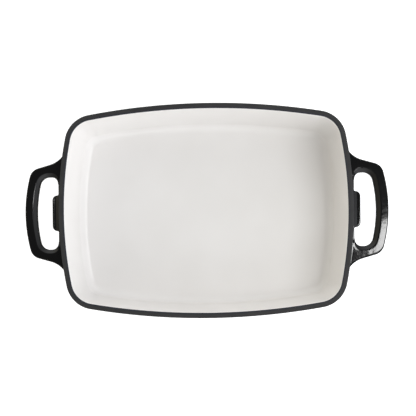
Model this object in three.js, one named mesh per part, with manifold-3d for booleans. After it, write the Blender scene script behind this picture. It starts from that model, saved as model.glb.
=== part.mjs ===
// Enamelled cast iron baking dish. The origin is at the middle of the base, on the table.
// X runs along the dish through both handles, Y runs across it and Z is up. All sizes are millimetres.
import * as THREE from "three";
import Module from "manifold-3d";

// Tub, measured over its enamel.
const RIM_LENGTH = 315;
const RIM_WIDTH = 229.5;
const DISH_HEIGHT = 60;
const SIDE_BOW_RADIUS = 733;
const END_BOW_RADIUS = 414;
const CORNER_RADIUS = 31;
const WALL_DRAFT = THREE.MathUtils.degToRad(9);
const RIM_BAND = 5.4;
const FLOOR_THICKNESS = 5.2;
const INSIDE_ROUND = 10;
const BASE_ROUND = 14;
const FOOT_BAND = 10;
const RECESS_DEPTH = 1.2;
const RECESS_CORNER = 14;

// Enamel. The outside coat stops above the table, so the dish stands on its iron foot band.
const COAT = 0.4;
const RIM_COAT = 0.6;
const RIM_EASE = 0.6;
const FOOT_CLEARANCE = 0.8;

// Air between pieces that touch on the real dish.
const COAT_FIT = 0.2;
const SEAT_GAP = 0.3;
const CUTTER_REACH = 3;

// Loop handles, measured over their enamel.
const HANDLE_REACH = 38.5;
const HANDLE_DROP = 7;
const HANDLE_THICKNESS = 10;
const HANDLE_EDGE_ROUND = 3;
const GRIP_WIDTH = 12.6;
const GRIP_BOW_RADIUS = 156;
const GRIP_CORNER_RADIUS = 13;
const SLOT_LENGTH = 79;
const SLOT_CORNER_RADIUS = 10.5;
const SLOT_ROOT_RADIUS = 8;
const SLOT_BEVEL_WIDTH = 4.2;
const SLOT_BEVEL_DROP = 3;
const ARM_WIDTH = 12.8;
const ARM_LEAN = THREE.MathUtils.degToRad(16);
const ROOT_RADIUS = 27;
const ROOT_SINK = 0.8;
const ROOT_RISE = 0.6;
const ROOT_END_ROUND = 5;

// Lugs on the end walls, inside the handle loops, measured over their enamel. Each grows out of a ledge
// that runs along the wall from one handle root to the other.
const LEDGE_REACH = 2.1;
const LEDGE_EASE = 0.6;
const LUG_REACH = 8.8;
const LUG_LENGTH = 38.8;
const LUG_TIP_LENGTH = 31.2;
const LUG_CHAMFER = 5;
const LUG_DROP = 8;
const LUG_HEIGHT = 8;
const LUG_EDGE_ROUND = 1.6;
const LUG_TIP_EASE = 0.9;

// How finely curves are cut up.
const END_STEPS = 4;
const CORNER_STEPS = 8;
const SIDE_STEPS = 6;
const ROUND_STEPS = 4;
const ROOT_STEPS = 6;
const BEND_STEPS = 4;
const GRIP_STEPS = 4;
const EDGE_STEPS = 3;
const HANDLE_CUTS = 3;
const LUG_CUTS = 6;

const wasm = await Module();
wasm.setup();

const lerp = THREE.MathUtils.lerp;

function arc(centre, radius, from, to, steps) {
  const points = [];
  for (let i = 0; i <= steps; i++) {
    const angle = lerp(from, to, i / steps);
    points.push(
      new THREE.Vector2(
        centre.x + radius * Math.cos(angle),
        centre.y + radius * Math.sin(angle),
      ),
    );
  }
  return points;
}

// The faces that close a ring, as strips from one half of the ring across to the other.
function capFaces(count) {
  const faces = [];
  for (let i = 0, j = count - 1; j - i > 1; i++, j--) {
    faces.push(i, i + 1, j);
    if (j - i > 2) {
      faces.push(i + 1, j - 1, j);
    }
  }
  return faces;
}

// A closed surface through rings of equal point count. A looped run of rings closes on itself,
// any other run is capped at both ends. The faces are turned to point out.
function loft(rings, looped = false) {
  const count = rings[0].length;
  const points = rings.flat();
  const faces = [];
  const bands = looped ? rings.length : rings.length - 1;
  for (let band = 0; band < bands; band++) {
    const here = band * count;
    const next = ((band + 1) % rings.length) * count;
    for (let i = 0; i < count; i++) {
      const j = (i + 1) % count;
      faces.push(here + i, here + j, next + j);
      faces.push(here + i, next + j, next + i);
    }
  }
  if (!looped) {
    const last = (rings.length - 1) * count;
    const cap = capFaces(count);
    faces.push(...cap.toReversed());
    faces.push(...cap.map((index) => last + index));
  }
  let volume = 0;
  for (let i = 0; i < faces.length; i += 3) {
    const [a, b, c] = faces.slice(i, i + 3).map((index) => points[index]);
    volume += a.dot(b.clone().cross(c));
  }
  const geometry = new THREE.BufferGeometry().setFromPoints(points);
  geometry.setIndex(volume < 0 ? faces.reverse() : faces);
  return geometry;
}

function solidOf(geometry) {
  const vertProperties = new Float32Array(geometry.attributes.position.array);
  const triVerts = new Uint32Array(geometry.index.array);
  return new wasm.Manifold(
    new wasm.Mesh({ numProp: 3, vertProperties, triVerts }),
  );
}

function geometryOf(solid) {
  const mesh = solid.getMesh();
  const geometry = new THREE.BufferGeometry();
  const positions = new THREE.BufferAttribute(mesh.vertProperties, 3);
  geometry.setAttribute("position", positions);
  geometry.setIndex(new THREE.BufferAttribute(mesh.triVerts, 1));
  return geometry;
}

// The tub's plan: a rectangle with bowed sides and round corners, all arcs that run into each other.
const endBowCentre = new THREE.Vector2(RIM_LENGTH / 2 - END_BOW_RADIUS, 0);
const sideBowCentre = new THREE.Vector2(0, RIM_WIDTH / 2 - SIDE_BOW_RADIUS);

// The centre of a corner arc that runs into the bowed end and the bowed side of the inset plan.
function cornerCentre(inset, radius) {
  const endDistance = END_BOW_RADIUS - inset - radius;
  const sideDistance = SIDE_BOW_RADIUS - inset - radius;
  const between = endBowCentre.clone().sub(sideBowCentre);
  const span = between.length();
  const along =
    (sideDistance ** 2 - endDistance ** 2 + span ** 2) / (2 * span);
  const away = Math.sqrt(sideDistance ** 2 - along ** 2);
  between.divideScalar(span);
  return new THREE.Vector2(
    sideBowCentre.x + between.x * along + between.y * away,
    sideBowCentre.y + between.y * along - between.x * away,
  );
}

// One quarter of the inset plan, from the middle of the +X end to the middle of the +Y side.
function planQuarter(inset, radius) {
  const corner = cornerCentre(inset, radius);
  const toEnd = corner.clone().sub(endBowCentre).angle();
  const toSide = corner.clone().sub(sideBowCentre).angle();
  const endArc = arc(endBowCentre, END_BOW_RADIUS - inset, 0, toEnd, END_STEPS);
  const cornerArc = arc(corner, radius, toEnd, toSide, CORNER_STEPS);
  const sideRadius = SIDE_BOW_RADIUS - inset;
  const sideArc = arc(sideBowCentre, sideRadius, toSide, Math.PI / 2, SIDE_STEPS);
  return [...endArc, ...cornerArc.slice(1), ...sideArc.slice(1)];
}

// The inset plan as a ring at one height, counterclockwise from the middle of the +X end.
function planRing(inset, height, radius = CORNER_RADIUS - inset) {
  const quarter = planQuarter(inset, radius);
  const back = quarter.slice(0, -1).reverse();
  const half = [...quarter, ...back.map((p) => new THREE.Vector2(-p.x, p.y))];
  const below = half.slice(1, -1).reverse();
  const plan = [...half, ...below.map((p) => new THREE.Vector2(p.x, -p.y))];
  return plan.map((p) => new THREE.Vector3(p.x, p.y, height));
}

// A wall that leans in from the rim and turns into the floor with a round, as points of inset and height.
// The round stops early at lastAngle, where 90 degrees is flat on the floor.
function wallProfile(rimInset, top, floor, round, lastAngle = Math.PI / 2) {
  const height = floor + round;
  const lean = (DISH_HEIGHT - height) * Math.sin(WALL_DRAFT);
  const inset = rimInset + (lean + round) / Math.cos(WALL_DRAFT);
  const topInset = rimInset + (DISH_HEIGHT - top) * Math.tan(WALL_DRAFT);
  const profile = [new THREE.Vector2(topInset, top)];
  for (let i = 0; i <= ROUND_STEPS; i++) {
    const angle = lerp(WALL_DRAFT, lastAngle, i / ROUND_STEPS);
    profile.push(
      new THREE.Vector2(
        inset - round * Math.cos(angle),
        height - round * Math.sin(angle),
      ),
    );
  }
  return profile;
}

const ringsOf = (profile) => profile.map((p) => planRing(p.x, p.y));

// Iron sits one coat and a little air behind each enamelled face.
const UNDER_COAT = COAT + COAT_FIT;
const coatTop = DISH_HEIGHT - RIM_COAT;

// Tub: floor and walls of iron, with a shallow recess under the floor that leaves a foot band.
const ironOutside = wallProfile(UNDER_COAT, coatTop, 0, BASE_ROUND);
const ironInside = wallProfile(
  RIM_BAND - UNDER_COAT,
  coatTop,
  FLOOR_THICKNESS - UNDER_COAT,
  INSIDE_ROUND + UNDER_COAT,
);
const footInset = ironOutside[ironOutside.length - 1].x;
const recessInset = footInset + FOOT_BAND;
const tub = loft([
  planRing(recessInset, RECESS_DEPTH, RECESS_CORNER),
  planRing(recessInset, 0, RECESS_CORNER),
  ...ringsOf(ironOutside).reverse(),
  ...ringsOf(ironInside),
]);

// Inside enamel: one coat over the inner walls and the floor.
const insideBack = wallProfile(
  RIM_BAND - COAT,
  coatTop,
  FLOOR_THICKNESS - COAT,
  INSIDE_ROUND + COAT,
);
const insideFace = wallProfile(RIM_BAND, coatTop, FLOOR_THICKNESS, INSIDE_ROUND);
const insideEnamel = loft([
  ...ringsOf(insideBack).reverse(),
  ...ringsOf(insideFace),
]);

// Outside enamel: one coat over the outer walls, down to just above the foot band.
const coatRound = BASE_ROUND + UNDER_COAT;
const coatStop = Math.asin(1 - (FOOT_CLEARANCE + UNDER_COAT) / coatRound);
const outsideFace = wallProfile(0, coatTop, -UNDER_COAT, coatRound, coatStop);
const outsideBack = wallProfile(
  COAT,
  coatTop,
  -COAT_FIT,
  BASE_ROUND + COAT_FIT,
  coatStop,
);
const outsideCoat = loft(
  [...ringsOf(outsideFace), ...ringsOf(outsideBack).reverse()],
  true,
);

// Rim enamel: a band that lies on the iron and on the top edges of both coats, with eased edges.
const bandInset = RIM_COAT * Math.tan(WALL_DRAFT);
const midEase = RIM_EASE * (1 - Math.SQRT1_2);
const rimEnamel = loft(
  [
    planRing(bandInset, coatTop),
    planRing(midEase, DISH_HEIGHT - midEase),
    planRing(RIM_EASE, DISH_HEIGHT),
    planRing(RIM_BAND - RIM_EASE, DISH_HEIGHT),
    planRing(RIM_BAND - midEase, DISH_HEIGHT - midEase),
    planRing(RIM_BAND + bandInset, coatTop),
  ],
  true,
);

// Base enamel: one coat on the ceiling of the recess under the floor.
const baseInset = recessInset + SEAT_GAP;
const baseCorner = RECESS_CORNER - SEAT_GAP;
const baseEnamel = loft([
  planRing(baseInset, RECESS_DEPTH - UNDER_COAT, baseCorner),
  planRing(baseInset, RECESS_DEPTH - COAT_FIT, baseCorner),
]);

// How far out the end wall stands at one place across it and one height, so deep under its enamel's face.
function endWall(across, height, sunk) {
  const inset = sunk + (DISH_HEIGHT - height) * Math.tan(WALL_DRAFT);
  const radius = END_BOW_RADIUS - inset;
  return endBowCentre.x + Math.sqrt(radius ** 2 - across ** 2);
}

// A rectangle with round corners, as offsets from its middle. Its long edges are cut up so that they can
// bend. The corners at the +X end may have a round of their own.
function roundSection(halfWidth, halfHeight, round, edgeCuts, endRound = round) {
  const corner = (x, y, size, from) => {
    const middle = new THREE.Vector2(x * (halfWidth - size), y * (halfHeight - size));
    return arc(middle, size, from, from + Math.PI / 2, EDGE_STEPS);
  };
  const top = [];
  for (let i = 1; i <= edgeCuts; i++) {
    const x = lerp(halfWidth - endRound, round - halfWidth, i / (edgeCuts + 1));
    top.push(new THREE.Vector2(x, halfHeight));
  }
  const bottom = top.map((p) => new THREE.Vector2(p.x, -p.y)).reverse();
  return [
    ...corner(1, 1, endRound, 0),
    ...top,
    ...corner(-1, 1, round, Math.PI / 2),
    ...corner(-1, -1, round, Math.PI),
    ...bottom,
    ...corner(1, -1, endRound, (3 * Math.PI) / 2),
  ];
}

// Loop handle. Its plan has an outer edge and a slot edge, each a run of arcs from the wall to mid grip.
const handleHeight = DISH_HEIGHT - HANDLE_DROP - HANDLE_THICKNESS / 2;
const gripOuter = RIM_LENGTH / 2 + HANDLE_REACH;
const gripCentre = new THREE.Vector2(gripOuter - GRIP_BOW_RADIUS, 0);
const slotMiddle = (RIM_LENGTH / 2 + gripOuter - GRIP_WIDTH) / 2;
const ledgeFace = RIM_LENGTH / 2 + LEDGE_REACH;
const ledgeEnd = SLOT_LENGTH / 2 - SLOT_ROOT_RADIUS;
const armEdge = {
  point: new THREE.Vector2(slotMiddle, SLOT_LENGTH / 2 + ARM_WIDTH),
  out: new THREE.Vector2(Math.sin(ARM_LEAN), Math.cos(ARM_LEAN)),
};
const slotEnd = {
  point: new THREE.Vector2(slotMiddle, SLOT_LENGTH / 2),
  out: new THREE.Vector2(0, 1),
};

// Where a line, moved out by shift, meets a circle on the side away from the dish.
function lineMeetsCircle(line, shift, centre, radius) {
  const off = line.point.clone().sub(centre).dot(line.out) + shift;
  const along = Math.sqrt(radius ** 2 - off ** 2);
  return new THREE.Vector2(
    centre.x + line.out.x * off + line.out.y * along,
    centre.y + line.out.y * off - line.out.x * along,
  );
}

// The bend and half the grip along one edge of the handle's plan. Sunk is how deep it lies under the face
// of the enamel, which widens the slot and draws in the outer edge. Turn is 1 at the outer edge and -1 at
// the slot.
function bendAndGrip(line, bendRadius, gripRadius, turn, sunk, steps) {
  const bend = lineMeetsCircle(line, -bendRadius, gripCentre, gripRadius - bendRadius);
  const bendEnd = bend.clone().sub(gripCentre).angle();
  const bendSize = bendRadius - turn * sunk;
  const gripSize = gripRadius - turn * sunk;
  return [
    ...arc(bend, bendSize, line.out.angle(), bendEnd, steps),
    ...arc(gripCentre, gripSize, bendEnd, 0, GRIP_STEPS).slice(1),
  ];
}

// The outer edge of the handle's plan starts with a wide fillet that runs out of the wall.
function outerEdge(sunk) {
  const wallRadius =
    END_BOW_RADIUS - (DISH_HEIGHT - handleHeight) * Math.tan(WALL_DRAFT);
  const rootReach = wallRadius - ROOT_SINK + ROOT_RADIUS;
  const root = lineMeetsCircle(armEdge, ROOT_RADIUS, endBowCentre, rootReach);
  const rootSize = ROOT_RADIUS + sunk;
  const towards = endBowCentre.clone().sub(root).angle();
  const wallSize = wallRadius - sunk;
  const opening = Math.acos(
    (rootReach ** 2 + rootSize ** 2 - wallSize ** 2) / (2 * rootReach * rootSize),
  );
  const rootEnd = armEdge.out.angle() + Math.PI;
  return [
    ...arc(root, rootSize, towards + opening, rootEnd, ROOT_STEPS),
    ...bendAndGrip(armEdge, GRIP_CORNER_RADIUS, GRIP_BOW_RADIUS, 1, sunk, BEND_STEPS),
  ];
}

// The slot edge starts on the wall, at the end of the lug's ledge, and turns out of the ledge's face. Its
// bend starts where the outer edge's fillet ends, so that the two edges run side by side.
function slotEdge(sunk) {
  const root = new THREE.Vector2(ledgeFace + SLOT_ROOT_RADIUS, ledgeEnd);
  const rootSize = SLOT_ROOT_RADIUS + sunk;
  const start = Math.PI - Math.asin(sunk / rootSize);
  const seam = ledgeEnd + sunk;
  const gripInner = GRIP_BOW_RADIUS - GRIP_WIDTH;
  return [
    new THREE.Vector2(endWall(seam, handleHeight, sunk), seam),
    ...arc(root, rootSize, start, Math.PI / 2, ROOT_STEPS - 2),
    ...bendAndGrip(slotEnd, SLOT_CORNER_RADIUS, gripInner, -1, sunk, BEND_STEPS + 1),
  ];
}

// The section of the handle's bar, as offsets from its middle. Its edges are round, but for a bevel on top
// along the slot. On the wall its outer end is rounder, so that the root runs out in a soft tongue.
function handleSection(halfWidth, halfHeight, rooting, sunk) {
  const edge = HANDLE_EDGE_ROUND - sunk;
  const tongue = lerp(edge, Math.min(ROOT_END_ROUND, HANDLE_THICKNESS / 2) - sunk, rooting);
  const section = roundSection(halfWidth, halfHeight, edge, HANDLE_CUTS, tongue);
  const slope = Math.atan2(SLOT_BEVEL_DROP, SLOT_BEVEL_WIDTH);
  const in1 = sunk * (1 - Math.tan(slope / 2));
  const in2 = sunk * (1 - Math.tan(Math.PI / 4 - slope / 2));
  const bevel = [
    new THREE.Vector2(-halfWidth + SLOT_BEVEL_WIDTH - in1, halfHeight),
    new THREE.Vector2(-halfWidth, halfHeight - SLOT_BEVEL_DROP + in2),
  ];
  section.splice(EDGE_STEPS + 1 + HANDLE_CUTS, EDGE_STEPS + 1, ...bevel);
  return section;
}

// One ring of the handle for a point pair of its plan. Near the root the ring bends to lie along the wall.
function handleRing(outer, slot, step, sunk, side, mirror) {
  const rooting = Math.max(0, 1 - step / ROOT_STEPS);
  const rise = ROOT_RISE * (1 - Math.sin(((1 - rooting) * Math.PI) / 2));
  const halfWidth = outer.distanceTo(slot) / 2;
  const halfHeight = HANDLE_THICKNESS / 2 + rise - sunk;
  const section = handleSection(halfWidth, halfHeight, rooting, sunk);
  const outerGap = outer.x - endWall(outer.y, handleHeight, sunk);
  const slotGap = slot.x - endWall(slot.y, handleHeight, sunk);
  return section.map((p) => {
    const share = 0.5 + p.x / (2 * halfWidth);
    const flat = slot.clone().lerp(outer, share);
    const height = handleHeight + p.y;
    const wall = endWall(flat.y, height, sunk);
    const hugging = wall + SEAT_GAP + lerp(slotGap, outerGap, share);
    const reach = lerp(flat.x, hugging, rooting);
    return new THREE.Vector3(side * reach, mirror * flat.y, height);
  });
}

// All rings of one handle, from its root on the +Y side round the grip to its root on the -Y side.
function handleRings(sunk, side) {
  const outer = outerEdge(sunk);
  const slot = slotEdge(sunk);
  const half = (mirror) =>
    outer.map((p, step) => handleRing(p, slot[step], step, sunk, side, mirror));
  return [...half(1), ...half(-1).reverse().slice(1)];
}

function handleCasting(side) {
  return loft(handleRings(UNDER_COAT, side));
}

function handleEnamel(side) {
  const face = handleRings(0, side);
  const back = handleRings(COAT, side);
  return loft([...face, ...back.reverse()], true);
}

// Lug. Its rings run from the wall out along the ledge and on to the tip, with ends that taper over the
// chamfer.
const lugHeight = DISH_HEIGHT - LUG_DROP - LUG_HEIGHT / 2;
const lugTip = RIM_LENGTH / 2 + LUG_REACH;

function lugRing(halfLength, halfHeight, sunk, side, reachAt) {
  const section = roundSection(
    halfLength - sunk,
    halfHeight - sunk,
    LUG_EDGE_ROUND - sunk,
    LUG_CUTS,
  );
  return section.map((p) => {
    const height = lugHeight + p.y;
    const reach = reachAt(p.x, height);
    return new THREE.Vector3(side * reach, p.x, height);
  });
}

function lugRings(sunk, side) {
  const long = LUG_LENGTH / 2;
  const short = LUG_TIP_LENGTH / 2;
  const high = LUG_HEIGHT / 2;
  const wall = (across, height) => endWall(across, height, sunk) + SEAT_GAP;
  const ledge = ledgeEnd - SEAT_GAP;
  const shelf = ledgeFace - sunk;
  const tip = lugTip - sunk;
  return [
    lugRing(ledge, high, sunk, side, wall),
    lugRing(ledge, high, sunk, side, () => shelf - LEDGE_EASE),
    lugRing(ledge - LEDGE_EASE, high - LEDGE_EASE, sunk, side, () => shelf),
    lugRing(long, high - LEDGE_EASE, sunk, side, () => shelf),
    lugRing(long, high, sunk, side, () => tip - LUG_CHAMFER),
    lugRing(short + LUG_TIP_EASE, high, sunk, side, () => tip - LUG_TIP_EASE),
    lugRing(short, high - LUG_TIP_EASE, sunk, side, () => tip),
  ];
}

function lugCasting(side) {
  return loft(lugRings(UNDER_COAT, side));
}

function lugEnamel(side) {
  const face = lugRings(0, side);
  const back = lugRings(COAT, side);
  return loft([...face.reverse(), ...back]);
}

// The outside coat is open where the iron of a handle root or a lug grows out of the wall.
function opening(ring) {
  const moved = (by) => ring.map((p) => new THREE.Vector3(p.x + by, p.y, p.z));
  return solidOf(loft([moved(-CUTTER_REACH), moved(CUTTER_REACH)]));
}

let outsideSolid = solidOf(outsideCoat);
for (const side of [-1, 1]) {
  const roots = handleRings(UNDER_COAT - SEAT_GAP, side);
  const lug = lugRings(UNDER_COAT - SEAT_GAP, side)[0];
  for (const ring of [roots[0], roots[roots.length - 1], lug]) {
    outsideSolid = outsideSolid.subtract(opening(ring));
  }
}
const outsideEnamel = geometryOf(outsideSolid);

const dish = new THREE.Group();

function add(name, geometry, color, roughness, metalness) {
  const material = new THREE.MeshStandardMaterial({ color, roughness, metalness });
  const mesh = new THREE.Mesh(geometry, material);
  mesh.name = name;
  dish.add(mesh);
}

const addIron = (name, geometry) => add(name, geometry, 0x3b3b3d, 0.7, 0.6);
const addBlack = (name, geometry) => add(name, geometry, 0x0b0b0d, 0.12, 0);

addIron("tub_casting", tub);
addIron("left_handle_casting", handleCasting(-1));
addIron("right_handle_casting", handleCasting(1));
addIron("left_lug_casting", lugCasting(-1));
addIron("right_lug_casting", lugCasting(1));
add("inside_enamel", insideEnamel, 0xe6e2d8, 0.2, 0);
add("rim_enamel", rimEnamel, 0x44454a, 0.65, 0);
addBlack("outside_enamel", outsideEnamel);
addBlack("base_enamel", baseEnamel);
addBlack("left_handle_enamel", handleEnamel(-1));
addBlack("right_handle_enamel", handleEnamel(1));
addBlack("left_lug_enamel", lugEnamel(-1));
addBlack("right_lug_enamel", lugEnamel(1));

export default dish;
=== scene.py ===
import math

import bmesh
import bpy
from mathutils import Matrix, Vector


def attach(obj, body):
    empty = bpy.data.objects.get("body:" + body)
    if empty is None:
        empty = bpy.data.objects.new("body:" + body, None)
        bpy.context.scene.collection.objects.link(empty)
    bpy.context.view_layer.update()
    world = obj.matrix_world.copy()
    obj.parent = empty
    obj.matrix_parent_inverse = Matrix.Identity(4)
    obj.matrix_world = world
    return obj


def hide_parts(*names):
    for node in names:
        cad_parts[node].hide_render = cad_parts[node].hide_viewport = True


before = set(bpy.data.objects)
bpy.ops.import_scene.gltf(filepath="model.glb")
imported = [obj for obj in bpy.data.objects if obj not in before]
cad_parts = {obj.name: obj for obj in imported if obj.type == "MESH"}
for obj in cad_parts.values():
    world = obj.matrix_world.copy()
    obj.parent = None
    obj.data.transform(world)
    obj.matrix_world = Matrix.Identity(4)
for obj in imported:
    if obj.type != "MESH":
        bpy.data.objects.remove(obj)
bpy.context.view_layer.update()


# Iron casting.
# Tub, loop handles and wall tabs are one pour of grey iron in a sand mould, fettled and ground flat
# under the foot. Enamel hides all of it except the foot band that the dish stands on.

def new_group(name, inputs, outputs):
    """An empty shader group with number sockets, and its input and output nodes."""
    group = bpy.data.node_groups.new(name, "ShaderNodeTree")
    for label, value in inputs.items():
        socket = group.interface.new_socket(name=label, in_out="INPUT", socket_type="NodeSocketFloat")
        socket.default_value = value
    for label in outputs:
        group.interface.new_socket(name=label, in_out="OUTPUT", socket_type="NodeSocketFloat")
    return group, group.nodes.new("NodeGroupInput"), group.nodes.new("NodeGroupOutput")


def noise_in(group, scale, detail, roughness):
    """A noise node that reads the piece's own coordinates, in metres."""
    place = group.nodes.new("ShaderNodeTexCoord")
    noise = group.nodes.new("ShaderNodeTexNoise")
    noise.inputs["Detail"].default_value = detail
    noise.inputs["Roughness"].default_value = roughness
    group.links.new(place.outputs["Object"], noise.inputs["Vector"])
    group.links.new(scale, noise.inputs["Scale"])
    return noise


# Sand grain: fine pits from the mould, and broad patches where the surface is a little duller.
sand_grain, grain_in, grain_out = new_group(
    "sand_grain", {"Pits per metre": 900.0, "Patches per metre": 30.0}, ("Pits", "Patches"))
pits = noise_in(sand_grain, grain_in.outputs["Pits per metre"], detail=4.0, roughness=0.6)
patches = noise_in(sand_grain, grain_in.outputs["Patches per metre"], detail=3.0, roughness=0.55)
sand_grain.links.new(pits.outputs["Fac"], grain_out.inputs["Pits"])
sand_grain.links.new(patches.outputs["Fac"], grain_out.inputs["Patches"])


def start_material(name, group, **values):
    """A material with one shader, and the group of surface detail that will drive it."""
    material = bpy.data.materials.new(name)
    material.use_nodes = True
    shader = material.node_tree.nodes["Principled BSDF"]
    detail = material.node_tree.nodes.new("ShaderNodeGroup")
    detail.node_tree = group
    for label, value in values.items():
        detail.inputs[label.replace("_", " ")].default_value = value
    return material, shader, detail


NOISE_LOW, NOISE_HIGH = 0.3, 0.7


def colour_between(material, factor, low, high, start=NOISE_LOW, end=NOISE_HIGH):
    """A colour that goes from low to high over the reach that a noise keeps to, or a given one."""
    ramp = material.node_tree.nodes.new("ShaderNodeValToRGB")
    ramp.color_ramp.elements[0].position = start
    ramp.color_ramp.elements[1].position = end
    ramp.color_ramp.elements[0].color = (*low, 1.0)
    ramp.color_ramp.elements[1].color = (*high, 1.0)
    material.node_tree.links.new(factor, ramp.inputs["Fac"])
    return ramp.outputs["Color"]


def value_between(material, factor, low, high):
    """A number that goes from low to high over the reach that a noise keeps to."""
    span = material.node_tree.nodes.new("ShaderNodeMapRange")
    span.inputs["From Min"].default_value = NOISE_LOW
    span.inputs["From Max"].default_value = NOISE_HIGH
    span.inputs["To Min"].default_value = low
    span.inputs["To Max"].default_value = high
    material.node_tree.links.new(factor, span.inputs["Value"])
    return span.outputs["Result"]


def raise_surface(material, shader, height, distance, strength):
    """A bump of so many metres from a height, on the shader's normal."""
    bump = material.node_tree.nodes.new("ShaderNodeBump")
    bump.inputs["Distance"].default_value = distance
    bump.inputs["Strength"].default_value = strength
    material.node_tree.links.new(height, bump.inputs["Height"])
    material.node_tree.links.new(bump.outputs["Normal"], shader.inputs["Normal"])


IRON_DARK, IRON_PALE = (0.045, 0.044, 0.044), (0.105, 0.102, 0.1)

grey_iron, iron_shader, iron_detail = start_material("grey_iron", sand_grain, Pits_per_metre=1100.0)
iron_shader.inputs["Metallic"].default_value = 0.55
grey_iron.node_tree.links.new(
    colour_between(grey_iron, iron_detail.outputs["Patches"], IRON_DARK, IRON_PALE, start=0.35, end=0.65),
    iron_shader.inputs["Base Color"])
grey_iron.node_tree.links.new(
    value_between(grey_iron, iron_detail.outputs["Pits"], low=0.5, high=0.72),
    iron_shader.inputs["Roughness"])
raise_surface(grey_iron, iron_shader, iron_detail.outputs["Pits"], distance=0.0003, strength=0.5)

castings = (
    "tub_casting", "left_handle_casting", "right_handle_casting", "left_lug_casting", "right_lug_casting")
for node in castings:
    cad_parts[node].data.materials.clear()
    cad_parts[node].data.materials.append(grey_iron)


# Inside enamel.
# A cream glaze fired over the inner walls and the floor, in one coat that rolls under the inner edge of
# the rim. Its plan is a rectangle with bowed sides and round corners, and the walls lean out by 9 degrees.

RIM_LENGTH, RIM_WIDTH, DISH_HEIGHT = 0.315, 0.2295, 0.060
SIDE_BOW, END_BOW, CORNER = 0.733, 0.414, 0.031
WALL_LEAN = math.radians(9)
RIM_BAND = 0.0054
FLOOR_TOP = 0.0052
INSIDE_ROUND, FLOOR_CORNER = 0.010, 0.008
COAT = 0.0004
EDGE_DROP, EDGE_ROLL = 0.0012, 0.0003
NEXT_RING, FLOOR_RING, FLOOR_EDGE = 0.002, 0.0015, 0.004
END_STEPS, CORNER_STEPS, SIDE_STEPS, ROLL_STEPS, BASE_STEPS = 12, 18, 14, 3, 14
CREAM_THICK, CREAM_THIN = (0.818, 0.798, 0.779), (0.848, 0.829, 0.813)

end_bow_centre = Vector((RIM_LENGTH / 2 - END_BOW, 0))
side_bow_centre = Vector((0, RIM_WIDTH / 2 - SIDE_BOW))


def arc(centre, radius, start, end, steps):
    """Points along an arc, both ends included."""
    angles = [start + (end - start) * i / steps for i in range(steps + 1)]
    return [Vector((centre[0] + radius * math.cos(a), centre[1] + radius * math.sin(a))) for a in angles]


def heading(vector):
    """The angle that a vector points at in the plan."""
    return math.atan2(vector[1], vector[0])


def plan_ring(inset, height, corner=None):
    """The plan drawn in by an inset, as a ring of corners at one height."""
    corner = CORNER - inset if corner is None else corner
    to_end, to_side = END_BOW - inset - corner, SIDE_BOW - inset - corner
    between = end_bow_centre - side_bow_centre
    along = (to_side ** 2 - to_end ** 2 + between.length ** 2) / (2 * between.length)
    away = math.sqrt(to_side ** 2 - along ** 2)
    step = between.normalized()
    middle = side_bow_centre + step * along + Vector((step.y, -step.x)) * away
    turn_end, turn_side = heading(middle - end_bow_centre), heading(middle - side_bow_centre)
    quarter = (
        arc(end_bow_centre, END_BOW - inset, 0, turn_end, END_STEPS)
        + arc(middle, corner, turn_end, turn_side, CORNER_STEPS)[1:]
        + arc(side_bow_centre, SIDE_BOW - inset, turn_side, math.pi / 2, SIDE_STEPS)[1:]
    )
    half = quarter + [Vector((-p.x, p.y)) for p in reversed(quarter[:-1])]
    ring = half + [Vector((p.x, -p.y)) for p in reversed(half[1:-1])]
    return [Vector((p.x, p.y, height)) for p in ring]


def wall_profile(rim_inset, toward_rim, floor, round_size, last=math.pi / 2):
    """Inset and height along a coat: its edge rolled toward the rim, the leaning wall, the round below."""
    top = DISH_HEIGHT - EDGE_DROP
    turn = floor + round_size
    wall = [(rim_inset + (DISH_HEIGHT - z) * math.tan(WALL_LEAN), z)
            for z in (top, top - NEXT_RING, (top + turn) / 2, turn + NEXT_RING)]
    wall_side = math.pi if toward_rim > 0 else 0.0
    roll_centre = (wall[0][0] + toward_rim * EDGE_ROLL, top)
    edge = arc(roll_centre, EDGE_ROLL, math.pi / 2, wall_side, ROLL_STEPS)[:-1]
    inset = rim_inset + ((DISH_HEIGHT - turn) * math.sin(WALL_LEAN) + round_size) / math.cos(WALL_LEAN)
    foot = arc((inset, turn), round_size, math.pi + WALL_LEAN, math.pi + last, BASE_STEPS)
    return [tuple(p) for p in edge] + wall + [tuple(p) for p in foot]


def start_piece(name, places):
    """A ring of corners at these places, open for editing. Each corner keeps its number as it is extruded."""
    bpy.ops.object.select_all(action="DESELECT")
    bpy.ops.mesh.primitive_circle_add(vertices=len(places), radius=0.1)
    piece = bpy.context.object
    piece.name = piece.data.name = name
    bpy.ops.object.mode_set(mode="EDIT")
    bpy.ops.mesh.select_all(action="SELECT")
    mesh = bmesh.from_edit_mesh(piece.data)
    number = mesh.verts.layers.int.new("corner")
    mesh.verts.layers.float.new("across")
    mesh.verts.ensure_lookup_table()
    for i, place in enumerate(places):
        mesh.verts[i][number] = i
        mesh.verts[i].co = place
    bmesh.update_edit_mesh(piece.data)
    return piece


def pull_ring(places, across=0.0):
    """Extrudes the selected ring to these places, and notes how far across the piece they lie."""
    bpy.ops.mesh.extrude_edges_move()
    data = bpy.context.object.data
    mesh = bmesh.from_edit_mesh(data)
    number = mesh.verts.layers.int["corner"]
    share = mesh.verts.layers.float["across"]
    for corner in mesh.verts:
        if corner.select:
            corner.co = places[corner[number]]
            corner[share] = across
    bmesh.update_edit_mesh(data)


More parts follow.
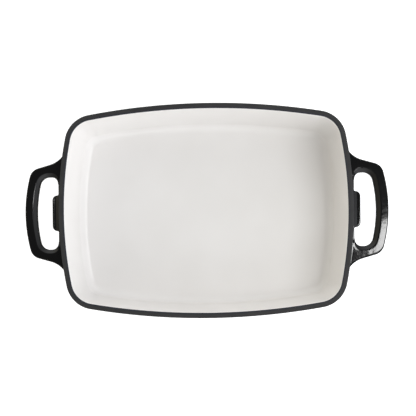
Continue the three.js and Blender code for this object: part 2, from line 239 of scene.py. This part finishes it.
def thicken_coat(piece, faces_in):
    """Gives a coat its thickness, toward the iron."""
    bpy.ops.mesh.select_all(action="SELECT")
    bpy.ops.mesh.normals_make_consistent(inside=faces_in)
    bpy.ops.object.mode_set(mode="OBJECT")
    solid = piece.modifiers.new("thickness", "SOLIDIFY")
    solid.thickness = COAT
    solid.offset = -1
    bpy.ops.object.modifier_apply(modifier=solid.name)
    bpy.ops.object.mode_set(mode="EDIT")


def finish_piece(piece, material):
    """Closes editing, turns the faces out, smooths them and lays the glaze on."""
    bpy.ops.mesh.select_all(action="SELECT")
    bpy.ops.mesh.normals_make_consistent(inside=False)
    bpy.ops.object.mode_set(mode="OBJECT")
    bpy.ops.object.shade_smooth()
    piece.data.materials.append(material)


def fix_to_dish(piece, node):
    """The piece rides on the dish, in place of a solid."""
    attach(piece, "root")
    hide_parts(node)


# Fired gloss: the slow ripple of a glaze that ran as it melted, and clouds of slightly thicker glaze.
fired_gloss, gloss_in, gloss_out = new_group(
    "fired_gloss", {"Ripples per metre": 160.0, "Clouds per metre": 14.0}, ("Ripple", "Cloud"))
ripple = noise_in(fired_gloss, gloss_in.outputs["Ripples per metre"], detail=2.0, roughness=0.45)
cloud = noise_in(fired_gloss, gloss_in.outputs["Clouds per metre"], detail=2.0, roughness=0.5)
fired_gloss.links.new(ripple.outputs["Fac"], gloss_out.inputs["Ripple"])
fired_gloss.links.new(cloud.outputs["Fac"], gloss_out.inputs["Cloud"])

cream_glaze, cream_shader, cream_detail = start_material("cream_glaze", fired_gloss)
cream_shader.inputs["IOR"].default_value = 1.5
cream_shader.inputs["Specular IOR Level"].default_value = 0.35
cream_glaze.node_tree.links.new(
    colour_between(cream_glaze, cream_detail.outputs["Cloud"], CREAM_THICK, CREAM_THIN),
    cream_shader.inputs["Base Color"])
cream_glaze.node_tree.links.new(
    value_between(cream_glaze, cream_detail.outputs["Cloud"], low=0.2, high=0.26),
    cream_shader.inputs["Roughness"])
raise_surface(cream_glaze, cream_shader, cream_detail.outputs["Ripple"], distance=0.0003, strength=0.05)

inside_profile = wall_profile(RIM_BAND, -1, FLOOR_TOP, INSIDE_ROUND)
floor_inset = inside_profile[-1][0]
inside_glaze = start_piece("inside_glaze", plan_ring(*inside_profile[0]))
for inset, height in inside_profile[1:]:
    pull_ring(plan_ring(inset, height))
pull_ring(plan_ring(floor_inset + FLOOR_RING, FLOOR_TOP))
pull_ring(plan_ring(floor_inset + FLOOR_EDGE, FLOOR_TOP, FLOOR_CORNER))
bpy.ops.mesh.edge_face_add()
thicken_coat(inside_glaze, faces_in=True)
finish_piece(inside_glaze, cream_glaze)
fix_to_dish(inside_glaze, "inside_enamel")


# Outside enamel.
# A black gloss glaze over the outer walls, from the outer edge of the rim down round the base to just
# above the foot band. The same coat runs on over the handles and the wall tabs.

BASE_ROUND = 0.014
FOOT_CLEARANCE = 0.0008
BASE_SKIN = 0.0006
BLACK_THICK, BLACK_THIN = (0.0015, 0.0015, 0.0017), (0.0035, 0.0034, 0.0036)

black_glaze, black_shader, black_detail = start_material("black_glaze", fired_gloss, Ripples_per_metre=130.0)
black_shader.inputs["IOR"].default_value = 1.45
black_shader.inputs["Specular IOR Level"].default_value = 0.4
black_glaze.node_tree.links.new(
    colour_between(black_glaze, black_detail.outputs["Cloud"], BLACK_THICK, BLACK_THIN),
    black_shader.inputs["Base Color"])
black_glaze.node_tree.links.new(
    value_between(black_glaze, black_detail.outputs["Cloud"], low=0.05, high=0.09),
    black_shader.inputs["Roughness"])
raise_surface(black_glaze, black_shader, black_detail.outputs["Ripple"], distance=0.0004, strength=0.15)

coat_round = BASE_ROUND + BASE_SKIN
coat_stop = math.asin(1 - (FOOT_CLEARANCE + BASE_SKIN) / coat_round)
outside_profile = wall_profile(0, 1, -BASE_SKIN, coat_round, coat_stop)
outside_glaze = start_piece("outside_glaze", plan_ring(*outside_profile[0]))
for inset, height in outside_profile[1:]:
    pull_ring(plan_ring(inset, height))
thicken_coat(outside_glaze, faces_in=False)
finish_piece(outside_glaze, black_glaze)
fix_to_dish(outside_glaze, "outside_enamel")


# Base enamel.
# The same black glaze on the ceiling of the shallow recess under the floor, fired flat, so the solid's
# own shape is right and it only takes the finish.

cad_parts["base_enamel"].data.materials.clear()
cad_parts["base_enamel"].data.materials.append(black_glaze)


# Loop handles.
# Each is a flat cast loop that grows out of the end wall below the rim, with wide fillets at its roots,
# a bevel round the finger slot and the black glaze run over all of it.

HANDLE_REACH, HANDLE_DROP, HANDLE_THICKNESS = 0.0385, 0.007, 0.010
GRIP_WIDTH, GRIP_BOW, GRIP_CORNER = 0.0126, 0.156, 0.013
SLOT_LENGTH, SLOT_CORNER, SLOT_ROOT = 0.079, 0.0105, 0.008
ARM_WIDTH, ARM_LEAN, ROOT_FILLET = 0.0128, math.radians(16), 0.027
WALL_FILLET, EDGE_ROUND, TOP_EASE, ROOT_EASE = 0.003, 0.003, 0.0016, 0.0041
BEVEL_WIDTH, BEVEL_DROP, ROOT_BEVEL_DROP, BEVEL_EASE = 0.0042, 0.003, 0.001, 0.0006
LEDGE_REACH, ROOT_SINK = 0.0021, 0.0002
SLOT_SIDE_SWELL = 0.25
LEDGE_STEPS, ROOT_STEPS, ARM_STEPS, BEND_STEPS, GRIP_STEPS = 5, 18, 4, 12, 12
BAR_ROUND_STEPS, BAR_TOP_STEPS, BEVEL_STEPS, UNDERSIDE_STEPS, EASE_STEPS = 8, 6, 3, 4, 4

handle_height = DISH_HEIGHT - HANDLE_DROP - HANDLE_THICKNESS / 2
grip_outer = RIM_LENGTH / 2 + HANDLE_REACH
grip_centre = Vector((grip_outer - GRIP_BOW, 0))
slot_middle = (RIM_LENGTH / 2 + grip_outer - GRIP_WIDTH) / 2
ledge_face = RIM_LENGTH / 2 + LEDGE_REACH
ledge_end = SLOT_LENGTH / 2 - SLOT_ROOT


def end_wall(across, height):
    """How far out the end wall stands at a place across it and a height."""
    radius = END_BOW - (DISH_HEIGHT - height) * math.tan(WALL_LEAN)
    return end_bow_centre.x + math.sqrt(radius ** 2 - across ** 2)


def line_meets_circle(point, out, shift, centre, radius):
    """Where a line, moved out by shift, meets a circle on the side away from the dish."""
    off = (point - centre).dot(out) + shift
    along = math.sqrt(radius ** 2 - off ** 2)
    return centre + out * off + Vector((out.y, -out.x)) * along


def points_between(start, end, steps):
    """Evenly spaced points on a straight line, without its ends."""
    return [start.lerp(end, i / steps) for i in range(1, steps)]


def bend_and_grip(point, out, bend, grip, steps):
    """One edge of the handle's plan from its straight arm round the bend to mid grip."""
    bend_at = line_meets_circle(point, out, -bend, grip_centre, grip - bend)
    swing = heading(bend_at - grip_centre)
    return arc(bend_at, bend, heading(out), swing, steps) + arc(grip_centre, grip, swing, 0, GRIP_STEPS)[1:]


arm_point = Vector((slot_middle, SLOT_LENGTH / 2 + ARM_WIDTH))
arm_out = Vector((math.sin(ARM_LEAN), math.cos(ARM_LEAN)))
wall_radius = END_BOW - (DISH_HEIGHT - handle_height) * math.tan(WALL_LEAN)
root_at = line_meets_circle(arm_point, arm_out, ROOT_FILLET, end_bow_centre, wall_radius + ROOT_FILLET)
root_fillet = arc(root_at, ROOT_FILLET, heading(end_bow_centre - root_at) % (2 * math.pi),
                  heading(arm_out) + math.pi, ROOT_STEPS)
outer_bend = bend_and_grip(arm_point, arm_out, GRIP_CORNER, GRIP_BOW, BEND_STEPS)
outer_edge = root_fillet + points_between(root_fillet[-1], outer_bend[0], ARM_STEPS + 1) + outer_bend
slot_start = Vector((end_wall(ledge_end, handle_height), ledge_end))
slot_edge = (
    [slot_start] + points_between(slot_start, Vector((ledge_face, ledge_end)), LEDGE_STEPS)
    + arc((ledge_face + SLOT_ROOT, ledge_end), SLOT_ROOT, math.pi, math.pi / 2, ROOT_STEPS - 1 - LEDGE_STEPS)
    + bend_and_grip(Vector((slot_middle, SLOT_LENGTH / 2)), Vector((0, 1)), SLOT_CORNER,
                    GRIP_BOW - GRIP_WIDTH, ARM_STEPS + BEND_STEPS + 1)
)


def eased_corner(before, corner, after):
    """A small round in place of a corner."""
    start = corner + (before - corner).normalized() * BEVEL_EASE
    end = corner + (after - corner).normalized() * BEVEL_EASE
    shares = [i / EASE_STEPS for i in range(EASE_STEPS + 1)]
    return [start.lerp(corner, t).lerp(corner.lerp(end, t), t) for t in shares]


def handle_section(half_width, outer_ease, bevel_drop):
    """The bar's section, from its outer side over the top: rounded outside, bevelled at the slot."""
    half_height = HANDLE_THICKNESS / 2
    right, left = half_width - outer_ease, -half_width + EDGE_ROUND
    bevel_top = Vector((-half_width + BEVEL_WIDTH, half_height))
    bevel_foot = Vector((-half_width, half_height - bevel_drop))
    over_centre, under_centre = (right, half_height - outer_ease), (right, -half_height + outer_ease)
    slot_centre = (left, -half_height + EDGE_ROUND)
    over_outer = arc(over_centre, outer_ease, 0, math.pi / 2, BAR_ROUND_STEPS)
    under_slot = arc(slot_centre, EDGE_ROUND, math.pi, 1.5 * math.pi, BAR_ROUND_STEPS)
    under_outer = arc(under_centre, outer_ease, 1.5 * math.pi, 2 * math.pi, BAR_ROUND_STEPS)
    top_corner = eased_corner(over_outer[-1], bevel_top, bevel_foot)
    foot_corner = eased_corner(bevel_top, bevel_foot, under_slot[0])
    return (
        over_outer + points_between(over_outer[-1], top_corner[0], BAR_TOP_STEPS)
        + top_corner + points_between(top_corner[-1], foot_corner[0], BEVEL_STEPS)
        + foot_corner + under_slot
        + points_between(under_slot[-1], under_outer[0], UNDERSIDE_STEPS) + under_outer
    )


def swell_at(gap):
    """How far the bar's top and underside swell where a fillet joins them to the wall, at a gap from it."""
    short = min(max(WALL_FILLET - gap, 0.0), WALL_FILLET)
    return WALL_FILLET - math.sqrt(WALL_FILLET ** 2 - short ** 2)


def handle_ring(outer, slot, step, mirror):
    """The section set across the handle's plan at one step. At the root it lies along the wall."""
    rooting = max(0.0, 1 - step / ROOT_STEPS)
    half_width = (outer - slot).length / 2
    outer_gap = outer.x - end_wall(outer.y, handle_height)
    slot_gap = slot.x - end_wall(slot.y, handle_height)
    sunk = ROOT_SINK if step == 0 else 0.0
    outer_ease = TOP_EASE + (ROOT_EASE - TOP_EASE) * rooting ** 2
    bevel_drop = BEVEL_DROP + (ROOT_BEVEL_DROP - BEVEL_DROP) * rooting
    places = []
    for p in handle_section(half_width, outer_ease, bevel_drop):
        share = 0.5 + p.x / (2 * half_width)
        flat = slot.lerp(outer, share)
        gap = slot_gap + (outer_gap - slot_gap) * share
        swell = swell_at(gap) * min(max(2 * share, SLOT_SIDE_SWELL), 1.0)
        height = handle_height + p.y * (1 + swell / (HANDLE_THICKNESS / 2))
        hugging = end_wall(flat.y, height) - sunk + gap
        reach = flat.x + (hugging - flat.x) * rooting
        places.append(Vector((reach, mirror * flat.y, height)))
    return places


edges = list(enumerate(zip(outer_edge, slot_edge)))
far_half = [handle_ring(outer, slot, step, 1) for step, (outer, slot) in edges]
near_half = [handle_ring(outer, slot, step, -1) for step, (outer, slot) in edges]
handle_rings = far_half + near_half[-2::-1]

right_handle = start_piece("right_handle_glaze", handle_rings[0])
bpy.ops.mesh.edge_face_add()
for ring in handle_rings[1:]:
    bpy.ops.mesh.select_mode(type="EDGE")
    pull_ring(ring)
bpy.ops.mesh.edge_face_add()
finish_piece(right_handle, black_glaze)


def mirrored_copy(piece, name):
    """A copy of a piece on the other end of the dish, with its own mesh."""
    bpy.ops.object.select_all(action="DESELECT")
    piece.select_set(True)
    bpy.context.view_layer.objects.active = piece
    bpy.ops.object.duplicate(linked=False)
    copy = bpy.context.object
    copy.name = copy.data.name = name
    bpy.ops.object.mode_set(mode="EDIT")
    bpy.ops.mesh.select_all(action="SELECT")
    bpy.ops.transform.resize(value=(-1, 1, 1), center_override=(0, 0, 0))
    bpy.ops.mesh.normals_make_consistent(inside=False)
    bpy.ops.object.mode_set(mode="OBJECT")
    return copy


left_handle = mirrored_copy(right_handle, "left_handle_glaze")
fix_to_dish(right_handle, "right_handle_enamel")
fix_to_dish(left_handle, "left_handle_enamel")


# Wall tabs.
# A low ledge along each end wall, from one handle root to the other, with a short tab in its middle that has
# round corners, a raised lip and a slope up to the wall. All of it is cast on and lies under the black glaze.

TAB_REACH, TAB_LENGTH, TAB_CORNER = 0.0088, 0.0388, 0.0053
TAB_DROP, TAB_HEIGHT, TAB_ROUND = 0.008, 0.008, 0.0011
LIP_WIDTH, LIP_SLOPE, LIP_DEPTH = 0.0005, 0.0008, 0.0004
SLOPE_REACH, SLOPE_RISE, SLOPE_LENGTH, SLOPE_ROUND = 0.0051, 0.0034, 0.0376, 0.0005
LEDGE_BACK, LEDGE_LAP = 0.002, 0.0016
TAB_CORNER_STEPS, TAB_ROOT_STEPS, WALL_STEPS = 8, 4, 4
TAB_CREASE = math.radians(25)

tab_top = DISH_HEIGHT - TAB_DROP
tab_floor = tab_top - TAB_HEIGHT
tab_tip = RIM_LENGTH / 2 + TAB_REACH
tab_root = TAB_REACH - LEDGE_REACH - TAB_CORNER
ledge_stop = ledge_end + LEDGE_LAP
corner_at = (tab_tip - TAB_CORNER, TAB_LENGTH / 2 - TAB_CORNER)
root_corner_at = (ledge_face + tab_root, TAB_LENGTH / 2 + tab_root)
wall_places = [ledge_stop * i / WALL_STEPS for i in range(WALL_STEPS, 0, -1)]
tab_side = (
    [Vector((tab_tip, 0))]
    + arc(corner_at, TAB_CORNER, 0, math.pi / 2, TAB_CORNER_STEPS)
    + arc(root_corner_at, tab_root, 1.5 * math.pi, math.pi, TAB_ROOT_STEPS)[1:]
    + [Vector((ledge_face, ledge_stop))]
    + [Vector((end_wall(y, tab_floor) - LEDGE_BACK, y)) for y in wall_places]
)
tab_middle = Vector((end_wall(0, tab_floor) - LEDGE_BACK, 0))
tab_plan = tab_side + [tab_middle] + [Vector((p.x, -p.y)) for p in reversed(tab_side[1:])]
tab_outline = [Vector((p.x, p.y, tab_floor)) for p in tab_plan]
right_tab = start_piece("right_tab_glaze", tab_outline)
bpy.ops.mesh.edge_face_add()
bpy.ops.mesh.extrude_region_move(TRANSFORM_OT_translate={"value": (0, 0, TAB_HEIGHT)})
bpy.ops.mesh.select_mode(type="EDGE")
bpy.ops.mesh.select_all(action="DESELECT")
mesh = bmesh.from_edit_mesh(right_tab.data)
for edge in mesh.edges:
    ends = [v.co for v in edge.verts]
    flat = math.isclose(ends[0].z, ends[1].z, abs_tol=1e-6)
    edge.select = flat and min(c.x for c in ends) > ledge_face - TAB_ROUND / 2
bmesh.update_edit_mesh(right_tab.data)
bpy.ops.mesh.bevel(offset=TAB_ROUND, segments=5, affect="EDGES")
bpy.ops.mesh.select_mode(type="FACE")
bpy.ops.mesh.select_all(action="DESELECT")
mesh = bmesh.from_edit_mesh(right_tab.data)
upper_faces = [face for face in mesh.faces if face.calc_center_median().z > tab_top - TAB_ROUND / 2]
top_face = max(upper_faces, key=lambda face: face.calc_area())
top_face.select = True
bmesh.update_edit_mesh(right_tab.data)
bpy.ops.mesh.inset(thickness=LIP_WIDTH, depth=0)
bpy.ops.mesh.inset(thickness=LIP_SLOPE, depth=-LIP_DEPTH)
bpy.ops.mesh.inset(thickness=LIP_WIDTH, depth=-LIP_DEPTH / 8)
bpy.ops.object.mode_set(mode="OBJECT")

# The slope is a wedge between the wall and the tab's lip, joined into the same coat.
bpy.ops.object.select_all(action="DESELECT")
bpy.ops.mesh.primitive_cube_add(size=2)
slope = bpy.context.object
bpy.ops.object.mode_set(mode="EDIT")
mesh = bmesh.from_edit_mesh(slope.data)
for corner in mesh.verts:
    outer, upper = corner.co.x > 0, corner.co.z > 0
    corner.co.x = RIM_LENGTH / 2 + SLOPE_REACH if outer else end_wall(0, tab_top) - SLOPE_ROUND
    corner.co.y *= SLOPE_LENGTH / 2
    corner.co.z = tab_top - LIP_DEPTH - TAB_ROUND
    if upper:
        corner.co.z = tab_top if outer else tab_top + SLOPE_RISE
bmesh.update_edit_mesh(slope.data)
bpy.ops.mesh.select_all(action="SELECT")
bpy.ops.mesh.bevel(offset=SLOPE_ROUND, segments=4, affect="EDGES")
bpy.ops.object.mode_set(mode="OBJECT")
right_tab.select_set(True)
bpy.context.view_layer.objects.active = right_tab
bpy.ops.object.join()
bpy.ops.object.mode_set(mode="EDIT")
finish_piece(right_tab, black_glaze)
bpy.ops.object.shade_smooth_by_angle(angle=TAB_CREASE)
left_tab = mirrored_copy(right_tab, "left_tab_glaze")
fix_to_dish(right_tab, "right_lug_enamel")
fix_to_dish(left_tab, "left_lug_enamel")


# Rim.
# The flat top edge of the wall, where the gloss is wiped off before firing, so the matte charcoal
# ground coat shows. Along its inner edge the colour turns a little bluer.

RIM_DARK, RIM_PALE, RIM_BLUE = (0.026, 0.026, 0.027), (0.036, 0.0355, 0.036), (0.024, 0.026, 0.034)
BEAD, OUTER_LAP, INNER_LAP, CROWN = 0.00085, 0.00034, 0.00014, 0.00004
BLUE_START, BLUE_FULL = 0.62, 0.86
BEAD_STEPS, CROWN_STEPS = 8, 7

rim_ground, rim_shader, rim_detail = start_material(
    "rim_ground_coat", sand_grain, Pits_per_metre=1500.0, Patches_per_metre=60.0)
rim_shader.inputs["IOR"].default_value = 1.45
rim_shader.inputs["Specular IOR Level"].default_value = 0.3
rim_tone = colour_between(rim_ground, rim_detail.outputs["Patches"], RIM_DARK, RIM_PALE)
edge_share = rim_ground.node_tree.nodes.new("ShaderNodeAttribute")
edge_share.attribute_name = "across"
edge_mask = rim_ground.node_tree.nodes.new("ShaderNodeMapRange")
edge_mask.inputs["From Min"].default_value = BLUE_START
edge_mask.inputs["From Max"].default_value = BLUE_FULL
rim_ground.node_tree.links.new(edge_share.outputs["Fac"], edge_mask.inputs["Value"])
rim_mix = rim_ground.node_tree.nodes.new("ShaderNodeMix")
rim_mix.data_type = "RGBA"
rim_mix.inputs["B"].default_value = (*RIM_BLUE, 1.0)
rim_ground.node_tree.links.new(edge_mask.outputs["Result"], rim_mix.inputs["Factor"])
rim_ground.node_tree.links.new(rim_tone, rim_mix.inputs["A"])
rim_ground.node_tree.links.new(rim_mix.outputs["Result"], rim_shader.inputs["Base Color"])
rim_ground.node_tree.links.new(
    value_between(rim_ground, rim_detail.outputs["Pits"], low=0.48, high=0.62),
    rim_shader.inputs["Roughness"])
raise_surface(rim_ground, rim_shader, rim_detail.outputs["Pits"], distance=0.0002, strength=0.3)

outer_at = (BEAD - OUTER_LAP, DISH_HEIGHT - BEAD)
inner_at = (RIM_BAND + INNER_LAP - BEAD, DISH_HEIGHT - BEAD)
outer_bead = arc(outer_at, BEAD, 1.5 * math.pi, math.pi / 2, BEAD_STEPS)
inner_bead = arc(inner_at, BEAD, math.pi / 2, -math.pi / 2, BEAD_STEPS)
crown = points_between(outer_bead[-1], inner_bead[0], CROWN_STEPS)
for i, point in enumerate(crown, 1):
    point.y += CROWN * math.sin(math.pi * i / CROWN_STEPS)
rim_profile = outer_bead + crown + inner_bead
rim_band = start_piece("rim_ground_band", plan_ring(*rim_profile[0]))
for inset, height in rim_profile[1:]:
    pull_ring(plan_ring(inset, height), inset / RIM_BAND)
bpy.ops.mesh.select_all(action="DESELECT")
bpy.ops.mesh.select_mode(type="EDGE")
bpy.ops.mesh.select_non_manifold(extend=False)
bpy.ops.mesh.bridge_edge_loops()
finish_piece(rim_band, rim_ground)
fix_to_dish(rim_band, "rim_enamel")


# Studio.
# A plain pale floor that the camera sees as white, pale boards all round with a dark opening overhead, one
# soft box at the right, a lamp that only shows in the gloss, and a camera that looks almost straight down.

FLOOR_SIZE, FLOOR_GAP, FLOOR_LIFT = 6, 0.0001, 0.9
OPENING_START, OPENING_FULL = 0.62, 0.85
BOARDS_BRIGHT, BOARDS_DIM, DIAGONAL = 2.2, 0.74, 0.5

bpy.ops.object.select_all(action="DESELECT")
bpy.ops.mesh.primitive_plane_add(size=FLOOR_SIZE, location=(0, 0, -FLOOR_GAP))
floor = bpy.context.object
floor.name = "floor"
pale_floor = bpy.data.materials.new("pale_floor")
pale_floor.use_nodes = True
pale_shader = pale_floor.node_tree.nodes["Principled BSDF"]
pale_shader.inputs["Base Color"].default_value = (0.7, 0.7, 0.7, 1)
pale_shader.inputs["Roughness"].default_value = 0.9
pale_shader.inputs["Emission Color"].default_value = (1, 1, 1, 1)
eye = pale_floor.node_tree.nodes.new("ShaderNodeLightPath")
lift = pale_floor.node_tree.nodes.new("ShaderNodeMath")
lift.operation = "MULTIPLY"
lift.inputs[1].default_value = FLOOR_LIFT
pale_floor.node_tree.links.new(eye.outputs["Is Camera Ray"], lift.inputs[0])
pale_floor.node_tree.links.new(lift.outputs["Value"], pale_shader.inputs["Emission Strength"])
floor.data.materials.append(pale_floor)


def soft_light(name, place, lean, size, energy):
    """A rectangular soft light that leans over the dish from the right."""
    bpy.ops.object.light_add(type="AREA", location=place, rotation=(0, math.radians(lean), 0))
    light = bpy.context.object
    light.name = name
    light.data.shape = "RECTANGLE"
    light.data.size, light.data.size_y = size
    light.data.energy = energy
    return light


soft_box = soft_light("soft_box", place=(0.64, -0.16, 1.02), lean=32, size=(0.74, 0.60), energy=5.6)
soft_box.data.color = (0.97, 0.985, 1.0)
soft_box.visible_glossy = False
lamp = soft_light("lamp", place=(0.866, 0.017, 2.0), lean=24, size=(0.568, 0.184), energy=8.2)
lamp.visible_diffuse = False

world = bpy.data.worlds.new("studio")
bpy.context.scene.world = world
world.use_nodes = True
sky = world.node_tree.nodes.new("ShaderNodeTexCoord")
toward = world.node_tree.nodes.new("ShaderNodeSeparateXYZ")
side = world.node_tree.nodes.new("ShaderNodeMapRange")
side.inputs["From Min"].default_value = -1
side_boards = world.node_tree.nodes.new("ShaderNodeValToRGB")
side_boards.color_ramp.elements[0].color = (0.44, 0.41, 0.32, 1)
side_boards.color_ramp.elements[1].color = (0.82, 0.84, 0.87, 1)
front_and_back = side_boards.color_ramp.elements.new(0.5)
front_and_back.color = (0.97, 0.985, 1, 1)
opening = world.node_tree.nodes.new("ShaderNodeValToRGB")
opening.color_ramp.elements[0].position = OPENING_START
opening.color_ramp.elements[0].color = (1, 1, 1, 1)
opening.color_ramp.elements[1].position = OPENING_FULL
opening.color_ramp.elements[1].color = (0.15, 0.15, 0.15, 1)
fill = world.node_tree.nodes.new("ShaderNodeMix")
fill.data_type = "RGBA"
fill.blend_type = "MULTIPLY"
fill.inputs["Factor"].default_value = 1
world.node_tree.links.new(sky.outputs["Generated"], toward.inputs["Vector"])
world.node_tree.links.new(toward.outputs["X"], side.inputs["Value"])
world.node_tree.links.new(side.outputs["Result"], side_boards.inputs["Fac"])
world.node_tree.links.new(toward.outputs["Z"], opening.inputs["Fac"])
world.node_tree.links.new(side_boards.outputs["Color"], fill.inputs["A"])
world.node_tree.links.new(opening.outputs["Color"], fill.inputs["B"])
world.node_tree.links.new(fill.outputs["Result"], world.node_tree.nodes["Background"].inputs["Color"])
# The boards at the far left and near right are brighter than those at the other two corners.
diagonal = world.node_tree.nodes.new("ShaderNodeMath")
diagonal.operation = "MULTIPLY"
strength = world.node_tree.nodes.new("ShaderNodeMapRange")
strength.inputs["From Min"].default_value = -DIAGONAL
strength.inputs["From Max"].default_value = DIAGONAL
strength.inputs["To Min"].default_value = BOARDS_BRIGHT
strength.inputs["To Max"].default_value = BOARDS_DIM
world.node_tree.links.new(toward.outputs["X"], diagonal.inputs[0])
world.node_tree.links.new(toward.outputs["Y"], diagonal.inputs[1])
world.node_tree.links.new(diagonal.outputs["Value"], strength.inputs["Value"])
world.node_tree.links.new(strength.outputs["Result"], world.node_tree.nodes["Background"].inputs["Strength"])

# The camera's place, turn and lens come from the dish's outline in the photo.
bpy.ops.object.camera_add(
    location=(0.0146, -0.0615, 0.8353),
    rotation=(math.radians(-0.283), math.radians(2.356), math.radians(-0.619)))
camera = bpy.context.object
camera.data.sensor_width = 36
camera.data.lens = 62.8
camera.data.shift_x = 0.0446
camera.data.shift_y = 0.1528
bpy.context.scene.camera = camera
bpy.context.scene.view_settings.view_transform = "Standard"
